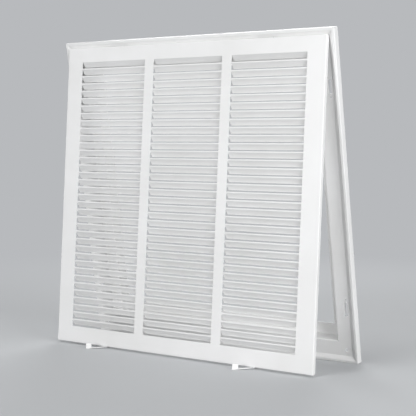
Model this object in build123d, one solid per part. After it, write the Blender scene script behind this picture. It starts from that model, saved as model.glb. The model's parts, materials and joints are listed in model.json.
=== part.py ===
from build123d import *
import math
import os

# Return air filter grille for an 18 x 18 in duct opening, standing on its own open door.
# Millimetres, +Z up, X across, -Y towards the viewer, floor at z = 0.
# Every piece is first built upright and closed: x = 0 is the middle, y = 0 the front of the
# rim and y grows towards the wall, z = 0 the bottom edge of the frame.

# Sizes that lead all others
duct_opening = 457.2
duct_clearance = 0.6
frame_overlap = 33.35
opening_angle = 13.9
cut_over = 1.0

# Frame section, measured inwards from the outer edge (s) and backwards from the rim (y)
frame_sheet = 0.8
frame_bend = 0.4
rim_depth = 11.0
lip_width = 4.4
slope_width = 6.4
slope_depth = 3.2
collar_depth = 27.0
filter_stop = 18.0
corner_relief = 1.2
corner_pinhole_radius = 1.25
mitre_spare = 5.0

# Frame holes, slots and tabs
screw_inset = 20.0
screw_hole_radius = 2.5
side_slot_from_end = 87.5
side_slot_length = 21.6
side_slot_inset = 13.2
side_slot_width = 6.2
side_tab_play = 0.5
side_tab_depth = 5.0
side_hole_from_end = 104.0
side_hole_inset = 15.5
side_hole_radius = 1.25
collar_hole_from_end = (78.0, 107.0)
collar_hole_depth = 18.0
collar_hole_radius = 1.2
weld_tab_length = 12.0
weld_tab_front = 8.0
weld_tab_back = 24.0

# Louvered door
door_sheet = 0.7
door_bend = 0.3
door_margin = 10.45
door_depth = 6.6
door_seat_gap = 0.9
door_corner_relief = 1.2
louver_columns = 3
louver_pitch = 12.6
louver_land = 2.0
louver_angle = 38.0
louver_end_play = 0.2
mullion_width = 17.8
margin_side = 31.5
margin_top = 24.0
margin_bottom = 27.4

# Hinges
hinge_station = 145.5
hinge_length = 34.0
hinge_notch = 36.0
frame_leaf_sheet = 0.6
door_leaf_sheet = 0.9
hinge_below_top = 2.1
middle_knuckle = 12.0
knuckle_gap = 0.3
pin_radius = 1.0
pin_play = 0.05
pin_overhang = 0.5
curl_slit = 0.2
frame_leaf_plate = 13.0
door_leaf_plate = 12.0
locating_hole_offset = 10.0
locating_hole_inset = 9.9
locating_hole_radius = 0.8

# Latches
latch_station = 146.0
latch_open_angle = 45.0
latch_pivot_depth = 3.5
latch_sheet = 1.0
latch_arm_length = 34.0
latch_arm_front = 1.5
latch_arm_width = 5.2
latch_arm_bend = 5.0
latch_arm_drop = 2.9
latch_boss_radius = 3.5
finger_tab_length = 9.0
finger_tab_height = 8.5
finger_tab_corner = 2.0
tongue_left = 1.0
tongue_neck_right = 4.8
tongue_head_right = 9.0
tongue_neck_end = 4.9
tongue_head_end = 7.4
window_left = 12.5
window_right = 6.5
window_low = 7.9
window_high = 11.2
washer_radius = 3.2
washer_thickness = 0.4
rivet_radius = 1.5
rivet_play = 0.1
rivet_head_radius = 2.4
rivet_head_height = 0.7

# Values that follow from the ones above
overall_size = duct_opening + 2 * frame_overlap
half = overall_size / 2
slope_end = lip_width + slope_width
flange_cut = (-cut_over, slope_depth + frame_sheet + cut_over)
collar_inset = half - duct_opening / 2 + duct_clearance + frame_sheet
collar_back = slope_depth + collar_depth
mitre_reach = collar_inset + filter_stop + mitre_spare
door_size = overall_size - 2 * door_margin
door_half = door_size / 2
door_back = slope_depth - door_seat_gap
door_front = door_back - door_depth
face_back = door_front + door_sheet
door_top = overall_size - door_margin
frame_knuckle_radius = pin_radius + frame_leaf_sheet
door_knuckle_radius = pin_radius + pin_play + door_leaf_sheet
axis_y = face_back + door_knuckle_radius
axis_z = door_top - hinge_below_top
louver_blade = louver_pitch - louver_land
louver_field = door_size - margin_top - margin_bottom + louver_land
louver_rows = round(louver_field / louver_pitch)
column_pitch = (door_size - 2 * margin_side + mullion_width) / louver_columns
louver_length = column_pitch - mullion_width
pivot_y = door_front + latch_pivot_depth
washer_bottom = door_margin - washer_thickness
lever_bottom = washer_bottom - latch_sheet


def block(x, y, z):
    """A box given by its lower and upper bound along each axis."""
    size = Box(x[1] - x[0], y[1] - y[0], z[1] - z[0], align=(Align.MIN, Align.MIN, Align.MIN))
    return Pos(x[0], y[0], z[0]) * size


def peg(x, z, radius, y):
    """A round bar along y."""
    bar = Cylinder(radius, y[1] - y[0])
    return Pos(x, (y[0] + y[1]) / 2, z) * Rot(90, 0, 0) * bar


def post(x, y, radius, z):
    """A round bar along z."""
    return Pos(x, y, (z[0] + z[1]) / 2) * Cylinder(radius, z[1] - z[0])


def rod(x, y, z, radius):
    """A round bar along x."""
    return Pos((x[0] + x[1]) / 2, y, z) * Rot(0, 90, 0) * Cylinder(radius, x[1] - x[0])


def beside(points, distance):
    """An open line moved to its left side, with mitred corners."""
    moved = []
    for i, (px, py) in enumerate(points):
        before = points[max(i - 1, 0)]
        after = points[min(i + 1, len(points) - 1)]
        if i == 0:
            before = (2 * px - after[0], 2 * py - after[1])
        if i == len(points) - 1:
            after = (2 * px - before[0], 2 * py - before[1])
        a = math.atan2(py - before[1], px - before[0])
        b = math.atan2(after[1] - py, after[0] - px)
        turn = (b - a + math.pi) % (2 * math.pi) - math.pi
        reach = distance / math.cos(turn / 2)
        middle = a + turn / 2 + math.pi / 2
        moved.append((px + reach * math.cos(middle), py + reach * math.sin(middle)))
    return moved


def rounded(face, points, radius):
    """The face with the corners at the given points rounded."""
    corners = [face.vertices().sort_by_distance((*point, 0))[0] for point in points]
    return fillet(corners, radius)


def bent_sheet(points, sheet, bend):
    """Cross-section of a folded sheet that lies to the left of an open line."""
    other = beside(points, sheet)
    face = make_face(Polyline(*points, *reversed(other), close=True))
    inner = []
    outer = []
    for i in range(1, len(points) - 1):
        ax = points[i][0] - points[i - 1][0]
        ay = points[i][1] - points[i - 1][1]
        bx = points[i + 1][0] - points[i][0]
        by = points[i + 1][1] - points[i][1]
        left_turn = (ax * by - ay * bx > 0) == (sheet > 0)
        inner.append(other[i] if left_turn else points[i])
        outer.append(points[i] if left_turn else other[i])
    return rounded(rounded(face, inner, bend), outer, bend + abs(sheet))


def plain_member():
    """The bottom side of the frame: one folded strip with 45 degree ends."""
    line = [
        (0, rim_depth),
        (0, 0),
        (lip_width, 0),
        (slope_end, slope_depth),
        (collar_inset, slope_depth),
        (collar_inset, collar_back - frame_sheet),
        (collar_inset + filter_stop, collar_back - frame_sheet),
    ]
    section = bent_sheet(line, frame_sheet, frame_bend)
    plane = Plane(origin=(half, 0, 0), x_dir=(0, 0, 1), z_dir=(-1, 0, 0))
    strip = extrude(plane * section, amount=overall_size)
    short = half - mitre_reach
    outline = Polyline((-half, 0), (half, 0), (short, mitre_reach), (-short, mitre_reach), close=True)
    wedge = extrude(Plane.XZ * make_face(outline), amount=collar_back + cut_over, both=True)
    member = strip & wedge
    for side in (-1, 1):
        member -= corner_cuts(side)
    return member


def corner_cuts(side):
    """The notch in the rim, the screw hole and the pinhole at one end of a member."""
    tip = side * half
    across = sorted((tip, tip - side * corner_relief))
    notch = block(across, (-cut_over, rim_depth + cut_over), (0, corner_relief))
    screw = peg(side * (half - screw_inset), screw_inset, screw_hole_radius, flange_cut)
    inset = collar_inset - frame_sheet / 2
    pinhole = peg(side * (half - inset), inset, corner_pinhole_radius, flange_cut)
    return notch + screw + pinhole


def turned(member, angle):
    """A member turned about the middle of the frame."""
    return member.rotate(Axis((0, 0, half), (0, 1, 0)), angle)


def weld_tabs():
    """The two collar ends of the top and bottom members, folded along the side collars."""
    tabs = []
    for side in (-1, 1):
        outer = side * (half - collar_inset)
        across = sorted((outer, outer - side * frame_sheet))
        along = (collar_inset - frame_sheet / 2, collar_inset + weld_tab_length)
        tabs.append(block(across, (weld_tab_front, weld_tab_back), along))
    return tabs


def side_member():
    """A left or right member: slots with their lanced tabs, small holes in face and collar."""
    member = plain_member()
    for side in (-1, 1):
        middle = side * (half - side_slot_from_end)
        ends = (middle - side_slot_length / 2, middle + side_slot_length / 2)
        inner = side_slot_inset + side_slot_width
        member -= block(ends, flange_cut, (side_slot_inset, inner))
        tab_ends = (ends[0] + side_tab_play, ends[1] - side_tab_play)
        tab_reach = (slope_depth, slope_depth + side_tab_depth)
        member += block(tab_ends, tab_reach, (inner, inner + frame_sheet))
        small = side * (half - side_hole_from_end)
        member -= peg(small, side_hole_inset, side_hole_radius, flange_cut)
        for distance in collar_hole_from_end:
            drill = (collar_inset - frame_sheet - cut_over, collar_inset + cut_over)
            member -= post(side * (half - distance), collar_hole_depth, collar_hole_radius, drill)
    return member


def bottom_member():
    """The bottom member with its weld tabs and the two latch windows."""
    member = plain_member() + weld_tabs()
    for side in (-1, 1):
        pivot = side * latch_station
        across = (pivot - window_left, pivot + window_right)
        member -= block(across, flange_cut, (window_low, window_high))
    return member


def top_member():
    """The top member with its weld tabs and a small locating hole beside each hinge."""
    member = turned(plain_member() + weld_tabs(), 180)
    for side in (-1, 1):
        across = side * hinge_station + locating_hole_offset
        member -= peg(across, overall_size - locating_hole_inset, locating_hole_radius, flange_cut)
    return member


def door_shell():
    """The door sheet with its four edges folded back."""
    across = (-door_half, door_half)
    along = (door_margin, door_top)
    outer = block(across, (door_front, door_back), along)
    front = outer.faces().sort_by(Axis.Y)[0]
    outer = fillet(front.edges(), door_bend + door_sheet)
    across = (-door_half + door_sheet, door_half - door_sheet)
    along = (door_margin + door_sheet, door_top - door_sheet)
    inner = block(across, (face_back, door_back + cut_over), along)
    front = inner.faces().sort_by(Axis.Y)[0]
    shell = outer - fillet(front.edges(), door_bend)
    for x in (-door_half, door_half - door_corner_relief):
        for z in (door_margin, door_top - door_corner_relief):
            x_pair = (x, x + door_corner_relief)
            z_pair = (z, z + door_corner_relief)
            shell -= block(x_pair, (face_back + door_bend, door_back + cut_over), z_pair)
    return shell


def louver_blade_at_origin():
    """One blade, bent back about its top edge, which lies on the front face at x = 0, z = 0."""
    lean = math.radians(louver_angle)
    foot = (louver_blade * math.sin(lean), -louver_blade * math.cos(lean))
    rear = (foot[0] + door_sheet * math.cos(lean), foot[1] + door_sheet * math.sin(lean))
    root = door_sheet * math.tan(lean / 2)
    outline = Polyline(
        (0, 0),
        foot,
        rear,
        (door_sheet, root),
        (door_sheet, louver_land / 2),
        (0, louver_land / 2),
        close=True,
    )
    length = louver_length - 2 * louver_end_play
    return extrude(Plane.YZ * make_face(outline), amount=length / 2, both=True)


def louver_door():
    """The whole door: one sheet, folded, pierced and louvered."""
    shell = door_shell()
    columns = [(i - (louver_columns - 1) / 2) * column_pitch for i in range(louver_columns)]
    rows = [door_top - margin_top - i * louver_pitch for i in range(louver_rows)]
    gap = Box(louver_length, 4 * door_sheet, louver_blade, align=(Align.CENTER, Align.CENTER, Align.MAX))
    blade = louver_blade_at_origin()
    gaps = [Pos(x, door_front, z) * gap for x in columns for z in rows]
    blades = [Pos(x, door_front, z) * blade for x in columns for z in rows]
    door = shell.cut(*gaps).fuse(*blades)
    for side in (-1, 1):
        across = (side * hinge_station - hinge_notch / 2, side * hinge_station + hinge_notch / 2)
        along = (door_top - 2 * door_sheet, door_top + cut_over)
        door -= block(across, (face_back, door_back + cut_over), along)
        hole = (door_margin - cut_over, door_margin + 2 * door_sheet)
        door -= post(side * latch_station, pivot_y, rivet_radius, hole)
    return door


def leaf_part(points, x, sheet):
    """A bent strip of a hinge leaf between two x positions; points are (y, z)."""
    outline = Polyline(*points, *reversed(beside(points, sheet)), close=True)
    return Pos(x[0], 0, 0) * extrude(Plane.YZ * make_face(outline), amount=x[1] - x[0])


def frame_leaf(station):
    """The leaf welded to the flange, with the middle knuckle staked on the pin."""
    under_pin = axis_z - pin_radius
    start = (axis_y, under_pin)
    bend = (slope_depth, under_pin)
    end = (slope_depth, under_pin - frame_leaf_plate)
    narrow = (station - middle_knuckle / 2, station + middle_knuckle / 2)
    wide = (station - hinge_length / 2, station + hinge_length / 2)
    leaf = leaf_part([start, bend, end], narrow, -frame_leaf_sheet)
    leaf += leaf_part([(slope_depth, under_pin - frame_leaf_sheet), end], wide, -frame_leaf_sheet)
    leaf += rod(narrow, axis_y, axis_z, frame_knuckle_radius)
    return leaf - rod((narrow[0] - cut_over, narrow[1] + cut_over), axis_y, axis_z, pin_radius)


def door_leaf(station):
    """The leaf welded behind the door face, with the two outer knuckles."""
    wide = (station - hinge_length / 2, station + hinge_length / 2)
    plate_top = axis_z - door_knuckle_radius - knuckle_gap
    depth = (face_back, face_back + door_leaf_sheet)
    leaf = block(wide, depth, (plate_top - door_leaf_plate, plate_top))
    inner = middle_knuckle / 2 + knuckle_gap
    for x in ((wide[0], station - inner), (station + inner, wide[1])):
        longer = (x[0] - cut_over, x[1] + cut_over)
        knuckle = rod(x, axis_y, axis_z, door_knuckle_radius)
        knuckle += block(x, depth, (plate_top, axis_z))
        knuckle -= rod(longer, axis_y, axis_z, pin_radius + pin_play)
        slit = (depth[1], depth[1] + curl_slit)
        knuckle -= block(longer, slit, (axis_z - door_knuckle_radius, axis_z - curl_slit))
        leaf += knuckle
    return leaf


def hinge_pin(station):
    """The pin through one hinge, a little longer than the knuckles."""
    reach = hinge_length / 2 + pin_overhang
    return rod((station - reach, station + reach), axis_y, axis_z, pin_radius)


def latch_lever(pivot):
    """A latch lever in its locked position: arm, finger tab and hooked tongue."""
    plate = (lever_bottom, lever_bottom + latch_sheet)
    tip = -latch_arm_length
    low = lever_bottom - latch_arm_drop
    side_view = Polyline(
        (0, plate[0]),
        (-latch_arm_bend, plate[0]),
        (tip, low),
        (tip, low + latch_sheet),
        (-latch_arm_bend, plate[1]),
        (0, plate[1]),
        close=True,
    )
    arm_front = door_front - latch_arm_front
    on_front = Plane(origin=(0, arm_front, 0), x_dir=(1, 0, 0), z_dir=(0, -1, 0))
    lever = extrude(on_front * make_face(side_view), amount=-latch_arm_width)
    root = tip + finger_tab_length
    root_low = lever_bottom + latch_arm_drop * (root + latch_arm_bend) / (latch_arm_length - latch_arm_bend)
    tab_top = low + latch_sheet + finger_tab_height
    tab_view = make_face(Polyline((tip, low), (root, root_low), (root, tab_top), (tip, tab_top), close=True))
    tab_view = rounded(tab_view, [(root, tab_top), (tip, tab_top)], finger_tab_corner)
    lever += extrude(on_front * tab_view, amount=-latch_sheet)
    lever += post(0, pivot_y, latch_boss_radius, plate)
    lever += block((-tongue_left, tongue_neck_right), (pivot_y, pivot_y + tongue_neck_end), plate)
    head_ends = (-tongue_left, tongue_head_right)
    head_depth = (pivot_y + tongue_neck_end, pivot_y + tongue_head_end)
    lever += block(head_ends, head_depth, plate)
    drill = (plate[0] - cut_over, plate[1] + cut_over)
    lever -= post(0, pivot_y, rivet_radius + rivet_play, drill)
    return Pos(pivot, 0, 0) * lever


def latch_washer(pivot):
    """The washer between the lever and the door's bottom edge."""
    height = (washer_bottom, door_margin)
    return post(pivot, pivot_y, washer_radius, height) - post(pivot, pivot_y, rivet_radius + rivet_play, height)


def latch_rivet(pivot):
    """The rivet a lever turns on, with a head below and a formed head above."""
    above = door_margin + door_sheet
    shank = post(pivot, pivot_y, rivet_radius, (lever_bottom, above))
    shank += post(pivot, pivot_y, rivet_head_radius, (lever_bottom - rivet_head_height, lever_bottom))
    return shank + post(pivot, pivot_y, rivet_head_radius, (above, above + rivet_head_height))


def door_lean():
    """Lean of the door at which the lever tips and the rounded rim edge reach one floor."""
    turn = math.radians(180 + latch_open_angle)
    back_edge = door_front - latch_arm_front + latch_arm_width - pivot_y
    tip_y = pivot_y + latch_arm_length * math.sin(turn) + back_edge * math.cos(math.radians(latch_open_angle))
    door_down = axis_z - lever_bottom + latch_arm_drop
    door_forward = axis_y - tip_y
    edge = frame_bend + frame_sheet
    frame_reach = math.hypot(axis_z - edge, edge - axis_y)
    frame_turn = math.atan2(edge - axis_y, axis_z - edge) + math.radians(opening_angle)
    level = door_down - frame_reach * math.cos(frame_turn)
    spread = door_forward + frame_reach * math.sin(frame_turn)
    lean = math.acos(edge / math.hypot(level, spread)) - math.atan2(spread, level)
    height = door_down * math.cos(lean) - door_forward * math.sin(lean)
    return math.degrees(lean), height


def leaned(shape, angle):
    """A piece turned about the hinge axis."""
    return shape.rotate(Axis((0, axis_y, axis_z), (1, 0, 0)), angle)


def swung(lever, pivot):
    """A lever turned from locked to open."""
    return lever.rotate(Axis((pivot, pivot_y, 0), (0, 0, 1)), latch_open_angle)


def frame_pieces():
    """Everything fixed to the frame."""
    side = side_member()
    pieces = {
        "frame_bottom": bottom_member(),
        "frame_top": top_member(),
        "frame_left": turned(side, 90),
        "frame_right": turned(side, -90),
    }
    for name, sign in (("left", -1), ("right", 1)):
        pieces["hinge_frame_leaf_" + name] = frame_leaf(sign * hinge_station)
        pieces["hinge_pin_" + name] = hinge_pin(sign * hinge_station)
    return pieces


def door_pieces():
    """Everything that swings with the door, the levers already open."""
    pieces = {"louver_door": louver_door()}
    for name, sign in (("left", -1), ("right", 1)):
        pivot = sign * latch_station
        pieces["hinge_door_leaf_" + name] = door_leaf(sign * hinge_station)
        pieces["latch_lever_" + name] = swung(latch_lever(pivot), pivot)
        pieces["latch_washer_" + name] = latch_washer(pivot)
        pieces["latch_rivet_" + name] = latch_rivet(pivot)
    return pieces


def standing():
    """All pieces in the pose of the photo, on the floor and centred."""
    lean, height = door_lean()
    pieces = {name: leaned(shape, opening_angle - lean) for name, shape in frame_pieces().items()}
    pieces.update({name: leaned(shape, -lean) for name, shape in door_pieces().items()})
    boxes = [shape.bounding_box() for shape in pieces.values()]
    middle = (min(box.min.Y for box in boxes) + max(box.max.Y for box in boxes)) / 2
    place = Pos(0, -middle, height - axis_z)
    return {name: place * shape for name, shape in pieces.items()}


os.makedirs("parts", exist_ok=True)
for node, shape in standing().items():
    export_step(shape, "parts/" + node + ".step")
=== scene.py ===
import bpy
import bmesh
import json
import math
from mathutils import Matrix, Vector


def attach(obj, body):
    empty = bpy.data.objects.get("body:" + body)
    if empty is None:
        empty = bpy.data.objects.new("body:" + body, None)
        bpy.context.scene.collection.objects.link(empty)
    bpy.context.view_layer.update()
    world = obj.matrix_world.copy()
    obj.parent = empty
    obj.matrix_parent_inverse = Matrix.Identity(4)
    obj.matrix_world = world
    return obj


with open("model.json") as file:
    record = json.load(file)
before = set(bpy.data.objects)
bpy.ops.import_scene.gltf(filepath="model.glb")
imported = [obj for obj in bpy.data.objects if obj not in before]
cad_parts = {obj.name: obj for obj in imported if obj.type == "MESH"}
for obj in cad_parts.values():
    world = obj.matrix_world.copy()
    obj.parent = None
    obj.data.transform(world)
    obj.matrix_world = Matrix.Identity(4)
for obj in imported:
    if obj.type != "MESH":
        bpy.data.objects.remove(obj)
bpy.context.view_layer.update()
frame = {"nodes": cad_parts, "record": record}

MM = 0.001

# Powder coat: spacing, depth and strength of its bumps, breadth and range of its clouds, its
# whites and its roughness
ORANGE_PEEL = 2.0 * MM
PEEL_DEPTH = 0.1 * MM
PEEL_BUMP = 0.5
COAT_GRAIN = 0.35 * MM
GRAIN_DEPTH = 0.03 * MM
GRAIN_BUMP = 0.12
COAT_CLOUD = 111.1 * MM
CLOUD_LOW = 0.3
CLOUD_HIGH = 0.7
COAT_THIN = "#efefee"
COAT_THICK = "#f6f6f6"
COAT_GLOSSY = 0.3
COAT_MATT = 0.4
COAT_IOR = 1.5

# Zinc plate: spacing, depth and strength of its mottle, its greys and its roughness
PLATING_GRAIN = 0.4 * MM
PLATING_DEPTH = 0.02 * MM
PLATING_BUMP = 0.2
ZINC_DARK = "#a9acb0"
ZINC_LIGHT = "#cfd2d4"
ZINC_BRIGHT = 0.24
ZINC_DULL = 0.42

# Spot welds, and where they sit on the upright frame and door, as in the CAD's own layout
WELD_RADIUS = 2.4 * MM
WELD_HEIGHT = 0.3 * MM
WELD_SUNK = 0.1 * MM
WELD_RIM = 0.8 * MM
WELD_SLOPE = 0.5 * MM
WELD_DIMPLE = 0.2 * MM
WELD_SIDES = 28
WELD_EDGE_STEPS = 3
WELD_SMOOTH = 50.0
FACES_UP = 0.9
HINGE_WORLD = Vector((0, -28.61, 502.705)) * MM
HINGE_UPRIGHT = Vector((0, -1.65, 511.35)) * MM
FRAME_LEAN = 10.2475
DOOR_LEAN = -3.6525
FRAME_SIZE = 523.9 * MM
TAB_FACE = 226.4 * MM
TAB_MIDDLE = 40.6 * MM
TAB_WELDS = (12.4 * MM, 19.6 * MM)
HINGE_STATION = 145.5 * MM
LEAF_WELDS = (-10.5 * MM, 10.5 * MM)
LEAF_WELD_HEIGHT = 502.6 * MM
FRAME_LEAF_FACE = 2.6 * MM
DOOR_LEAF_FACE = -2.7 * MM

# Camera, as fitted to the edges of the photograph
CAMERA_PLACE = Vector((1.02749, -1.46654, 0.34488))
CAMERA_TURN = 34.504
CAMERA_DOWN = 3.41
CAMERA_ROLL = 0.273
CAMERA_LENS = 94.81
CAMERA_SENSOR = 36.0
CAMERA_REACH = 50.0

# Studio, in metres, watts and degrees; a lamp is name, azimuth, elevation, distance, size, power
FLOOR_SIZE = 60.0
FLOOR_NEAR = 0.4
FLOOR_FAR = 1.7
ROOM_COLOUR = "#b8babd"
ROOM_STRENGTH = 1.0
CARD_COLOUR = "#d2d4d6"
CARD_RETURN = "#85878a"
FILL_COLOUR = "#f2f4f6"
FILL_STRENGTH = 0.22
LAMP_AIM = Vector((0, 0, 0.26))
LAMPS = (
    ("front_softbox", -10.0, 8.0, 3.0, 1.2, 38.0),
    ("side_softbox", 70.0, 4.0, 2.4, 1.2, 47.0),
    ("overhead_softbox", 0.0, 70.0, 2.4, 1.0, 13.0),
    ("rear_softbox", 205.0, 22.0, 2.8, 1.8, 42.0),
)


def linear(hex_colour):
    """An sRGB hex colour as linear RGBA."""
    channels = [int(hex_colour[i:i + 2], 16) / 255 for i in (1, 3, 5)]
    bent = [c / 12.92 if c <= 0.04045 else ((c + 0.055) / 1.055) ** 2.4 for c in channels]
    return bent + [1.0]


def add_node(tree, kind, settings=None, links=None, **properties):
    """Adds a node, sets its properties and sockets, and links its inputs to other sockets."""
    node = tree.nodes.new(kind)
    for name, value in properties.items():
        setattr(node, name, value)
    for name, value in (settings or {}).items():
        node.inputs[name].default_value = value
    for name, socket in (links or {}).items():
        tree.links.new(socket, node.inputs[name])
    return node


def new_material(name):
    """An empty node material and its tree."""
    material = bpy.data.materials.new(name)
    material.use_nodes = True
    material.node_tree.nodes.clear()
    return material, material.node_tree


def finish_material(tree, shader):
    """Links the shader to the material's surface."""
    add_node(tree, "ShaderNodeOutputMaterial", links={"Surface": shader.outputs[0]})


def white_powder_coat():
    """Semi-gloss polyester powder coat on sheet steel.

    Sprayed dry and baked, it shows a fine orange peel in its highlights and an even, clean
    white, a touch greyer and glossier where the powder went on thin. The orange peel is
    drawn a little coarser than the real one, or it would be too fine to show.
    """
    material, tree = new_material("white_powder_coat_steel")
    place = add_node(tree, "ShaderNodeTexCoord").outputs["Object"]
    peel = add_node(tree, "ShaderNodeTexNoise",
                    {"Scale": 1 / ORANGE_PEEL, "Detail": 1.5, "Roughness": 0.4}, {"Vector": place})
    grain = add_node(tree, "ShaderNodeTexNoise",
                     {"Scale": 1 / COAT_GRAIN, "Detail": 1.0}, {"Vector": place})
    cloud = add_node(tree, "ShaderNodeTexNoise",
                     {"Scale": 1 / COAT_CLOUD, "Detail": 3.0, "Roughness": 0.55}, {"Vector": place})
    colour = add_node(tree, "ShaderNodeValToRGB", links={"Fac": cloud.outputs["Fac"]})
    thin, thick = colour.color_ramp.elements
    thin.position = CLOUD_LOW
    thin.color = linear(COAT_THIN)
    thick.position = CLOUD_HIGH
    thick.color = linear(COAT_THICK)
    gloss = add_node(tree, "ShaderNodeMapRange",
                     {"From Min": CLOUD_LOW, "From Max": CLOUD_HIGH,
                      "To Min": COAT_GLOSSY, "To Max": COAT_MATT},
                     {"Value": cloud.outputs["Fac"]})
    fine = add_node(tree, "ShaderNodeBump", {"Strength": GRAIN_BUMP, "Distance": GRAIN_DEPTH},
                    {"Height": grain.outputs["Fac"]})
    bump = add_node(tree, "ShaderNodeBump", {"Strength": PEEL_BUMP, "Distance": PEEL_DEPTH},
                    {"Height": peel.outputs["Fac"], "Normal": fine.outputs["Normal"]})
    shader = add_node(tree, "ShaderNodeBsdfPrincipled", {"IOR": COAT_IOR, "Metallic": 0.0},
                      {"Base Color": colour.outputs["Color"], "Roughness": gloss.outputs["Result"],
                       "Normal": bump.outputs["Normal"]})
    finish_material(tree, shader)
    return material


def zinc_plated_steel():
    """Bright zinc plate on turned steel: cool grey, faintly mottled, with a soft satin gleam."""
    material, tree = new_material("bright_zinc_plated_steel")
    place = add_node(tree, "ShaderNodeTexCoord").outputs["Object"]
    mottle = add_node(tree, "ShaderNodeTexNoise",
                      {"Scale": 1 / PLATING_GRAIN, "Detail": 2.0}, {"Vector": place})
    colour = add_node(tree, "ShaderNodeValToRGB", links={"Fac": mottle.outputs["Fac"]})
    dark, light = colour.color_ramp.elements
    dark.color = linear(ZINC_DARK)
    light.color = linear(ZINC_LIGHT)
    gloss = add_node(tree, "ShaderNodeMapRange", {"To Min": ZINC_BRIGHT, "To Max": ZINC_DULL},
                     {"Value": mottle.outputs["Fac"]})
    bump = add_node(tree, "ShaderNodeBump", {"Strength": PLATING_BUMP, "Distance": PLATING_DEPTH},
                    {"Height": mottle.outputs["Fac"]})
    shader = add_node(tree, "ShaderNodeBsdfPrincipled", {"Metallic": 1.0},
                      {"Base Color": colour.outputs["Color"], "Roughness": gloss.outputs["Result"],
                       "Normal": bump.outputs["Normal"]})
    finish_material(tree, shader)
    return material


def seen_directly(tree):
    """A factor of 1 where the eye, a gloss or a glass looks at the surface, 0 for its light."""
    path = add_node(tree, "ShaderNodeLightPath")
    direct = add_node(tree, "ShaderNodeMath", operation="MAXIMUM")
    tree.links.new(path.outputs["Is Camera Ray"], direct.inputs[0])
    tree.links.new(path.outputs["Is Glossy Ray"], direct.inputs[1])
    either = add_node(tree, "ShaderNodeMath", operation="MAXIMUM")
    tree.links.new(direct.outputs[0], either.inputs[0])
    tree.links.new(path.outputs["Is Transmission Ray"], either.inputs[1])
    return either.outputs[0]


def mixed(tree, factor, first, second):
    """The first shader where the factor is 0, the second where it is 1."""
    mix = add_node(tree, "ShaderNodeMixShader")
    tree.links.new(factor, mix.inputs[0])
    tree.links.new(first.outputs[0], mix.inputs[1])
    tree.links.new(second.outputs[0], mix.inputs[2])
    return mix


def spot_weld():
    """One spot weld as it shows through the coat: a low round boss with a sunk middle."""
    bpy.ops.object.select_all(action="DESELECT")
    depth = WELD_HEIGHT + WELD_SUNK
    bpy.ops.mesh.primitive_cylinder_add(vertices=WELD_SIDES, radius=WELD_RADIUS, depth=depth,
                                        location=(0, 0, depth / 2 - WELD_SUNK))
    weld = bpy.context.object
    bpy.ops.object.transform_apply()
    bpy.ops.object.mode_set(mode="EDIT")
    bpy.ops.mesh.select_mode(type="FACE")
    shape = bmesh.from_edit_mesh(weld.data)
    for face in shape.faces:
        face.select_set(face.normal.z > FACES_UP)
    bmesh.update_edit_mesh(weld.data)
    bpy.ops.mesh.inset(thickness=WELD_RIM, depth=0.0)
    bpy.ops.mesh.inset(thickness=WELD_SLOPE, depth=-WELD_DIMPLE)
    bpy.ops.mesh.select_mode(type="EDGE")
    bpy.ops.mesh.select_all(action="DESELECT")
    shape = bmesh.from_edit_mesh(weld.data)
    rim = WELD_RADIUS - WELD_RIM / 2
    for edge in shape.edges:
        edge.select_set(all(v.co.z > WELD_HEIGHT / 2 and v.co.xy.length > rim for v in edge.verts))
    bmesh.update_edit_mesh(weld.data)
    bpy.ops.mesh.bevel(offset=WELD_HEIGHT / 2, segments=WELD_EDGE_STEPS)
    bpy.ops.object.mode_set(mode="OBJECT")
    bpy.ops.object.shade_smooth_by_angle(angle=math.radians(WELD_SMOOTH))
    return weld


def welded(name, weld, places, body, coat):
    """Copies of the spot weld as one piece on a body; a place is its point, facing and lean."""
    copies = []
    for point, facing, lean in places:
        stand = Matrix.Translation(HINGE_WORLD) @ Matrix.Rotation(math.radians(lean), 4, "X")
        turn = Vector(facing).to_track_quat("Z", "Y").to_matrix().to_4x4()
        one = bpy.data.objects.new(name, weld.data.copy())
        one.data.transform(stand @ Matrix.Translation(Vector(point) - HINGE_UPRIGHT) @ turn)
        bpy.context.scene.collection.objects.link(one)
        copies.append(one)
    bpy.ops.object.select_all(action="DESELECT")
    for one in copies:
        one.select_set(True)
    bpy.context.view_layer.objects.active = copies[0]
    bpy.ops.object.join()
    piece = bpy.context.object
    piece.name = name
    piece.data.materials.clear()
    piece.data.materials.append(coat)
    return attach(piece, body)


def spot_welds(coat):
    """The welds of the frame's corner tabs and of the hinge leaves."""
    weld = spot_weld()
    heights = (TAB_MIDDLE, FRAME_SIZE - TAB_MIDDLE)
    tabs = [((side * TAB_FACE, depth, height), (-side, 0, 0), FRAME_LEAN)
            for side in (-1, 1) for height in heights for depth in TAB_WELDS]
    across = [side * HINGE_STATION + offset for side in (-1, 1) for offset in LEAF_WELDS]
    frame_leaves = [((x, FRAME_LEAF_FACE, LEAF_WELD_HEIGHT), (0, -1, 0), FRAME_LEAN)
                    for x in across]
    door_leaves = [((x, DOOR_LEAF_FACE, LEAF_WELD_HEIGHT), (0, 1, 0), DOOR_LEAN)
                   for x in across]
    welded("corner_tab_spot_welds", weld, tabs, "frame", coat)
    welded("frame_leaf_spot_welds", weld, frame_leaves, "frame", coat)
    welded("door_leaf_spot_welds", weld, door_leaves, "door", coat)
    bpy.data.objects.remove(weld)


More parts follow.
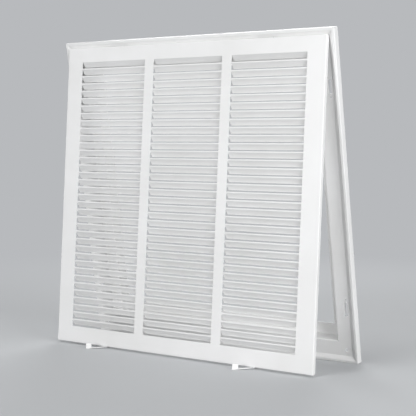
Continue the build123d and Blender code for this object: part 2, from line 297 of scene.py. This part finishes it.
def matt_studio_card():
    """Matt painted card under the grille.

    Pale to the eye, with soft shadows near the grille, and fading evenly into the room around
    it; it throws little light back, so the folds of the white sheet keep their shade.
    """
    material, tree = new_material("pale_studio_card")
    place = add_node(tree, "ShaderNodeTexCoord").outputs["Object"]
    radius = add_node(tree, "ShaderNodeVectorMath", operation="LENGTH")
    tree.links.new(place, radius.inputs[0])
    fade = add_node(tree, "ShaderNodeMapRange", {"From Min": FLOOR_NEAR, "From Max": FLOOR_FAR},
                    {"Value": radius.outputs["Value"]}, interpolation_type="SMOOTHSTEP")
    painted = add_node(tree, "ShaderNodeBsdfDiffuse", {"Color": linear(CARD_COLOUR)})
    room = add_node(tree, "ShaderNodeEmission",
                    {"Color": linear(ROOM_COLOUR), "Strength": ROOM_STRENGTH})
    dim = add_node(tree, "ShaderNodeBsdfDiffuse", {"Color": linear(CARD_RETURN)})
    seen = mixed(tree, fade.outputs["Result"], painted, room)
    finish_material(tree, mixed(tree, seen_directly(tree), dim, seen))
    return material


def dress_cad_nodes(coat, zinc):
    """Gives each CAD node the finish that its record slot names."""
    slots = {part["node"]: part["material_slot"] for part in frame["record"]["subparts"]}
    for name, piece in frame["nodes"].items():
        finish = zinc if slots.get(name) == "zinc_plated_steel" else coat
        for slot in piece.material_slots:
            slot.material = finish


def studio_floor(card):
    """The wide flat floor the grille stands on."""
    bpy.ops.object.select_all(action="DESELECT")
    bpy.ops.mesh.primitive_plane_add(size=FLOOR_SIZE)
    floor = bpy.context.object
    floor.name = "studio_floor"
    floor.data.materials.append(card)


def studio_lamps():
    """Large soft lamps, each aimed at the middle of the grille."""
    for name, azimuth, elevation, distance, size, power in LAMPS:
        turn = math.radians(azimuth)
        rise = math.radians(elevation)
        way = Vector((math.sin(turn) * math.cos(rise), -math.cos(turn) * math.cos(rise),
                      math.sin(rise)))
        light = bpy.data.lights.new(name, "AREA")
        light.size = size
        light.energy = power
        lamp = bpy.data.objects.new(name, light)
        lamp.location = LAMP_AIM + distance * way
        lamp.rotation_euler = (-way).to_track_quat("-Z", "Y").to_euler()
        lamp.visible_camera = False
        bpy.context.scene.collection.objects.link(lamp)


def soft_surround():
    """The room around the floor: pale to the eye, dim as a light."""
    world = bpy.data.worlds.new("soft_surround")
    world.use_nodes = True
    tree = world.node_tree
    tree.nodes.clear()
    dim = add_node(tree, "ShaderNodeBackground",
                   {"Color": linear(FILL_COLOUR), "Strength": FILL_STRENGTH})
    pale = add_node(tree, "ShaderNodeBackground",
                    {"Color": linear(ROOM_COLOUR), "Strength": ROOM_STRENGTH})
    room = mixed(tree, seen_directly(tree), dim, pale)
    add_node(tree, "ShaderNodeOutputWorld", links={"Surface": room.outputs[0]})
    bpy.context.scene.world = world


def photo_camera():
    """The camera of the photograph."""
    turn = math.radians(CAMERA_TURN)
    down = math.radians(CAMERA_DOWN)
    ahead = Vector((-math.sin(turn) * math.cos(down), math.cos(turn) * math.cos(down),
                    -math.sin(down)))
    right = ahead.cross(Vector((0, 0, 1))).normalized()
    up = right.cross(ahead)
    axes = Matrix((right, up, -ahead)).transposed()
    lens = bpy.data.cameras.new("photo_camera")
    lens.lens = CAMERA_LENS
    lens.sensor_width = CAMERA_SENSOR
    lens.clip_end = CAMERA_REACH
    camera = bpy.data.objects.new("photo_camera", lens)
    camera.matrix_world = axes.to_4x4() @ Matrix.Rotation(math.radians(CAMERA_ROLL), 4, "Z")
    camera.location = CAMERA_PLACE
    bpy.context.scene.collection.objects.link(camera)
    bpy.context.scene.camera = camera


coat_finish = white_powder_coat()
zinc_finish = zinc_plated_steel()
dress_cad_nodes(coat_finish, zinc_finish)
spot_welds(coat_finish)
studio_floor(matt_studio_card())
studio_lamps()
soft_surround()
photo_camera()
bpy.context.scene.view_settings.view_transform = "Standard"
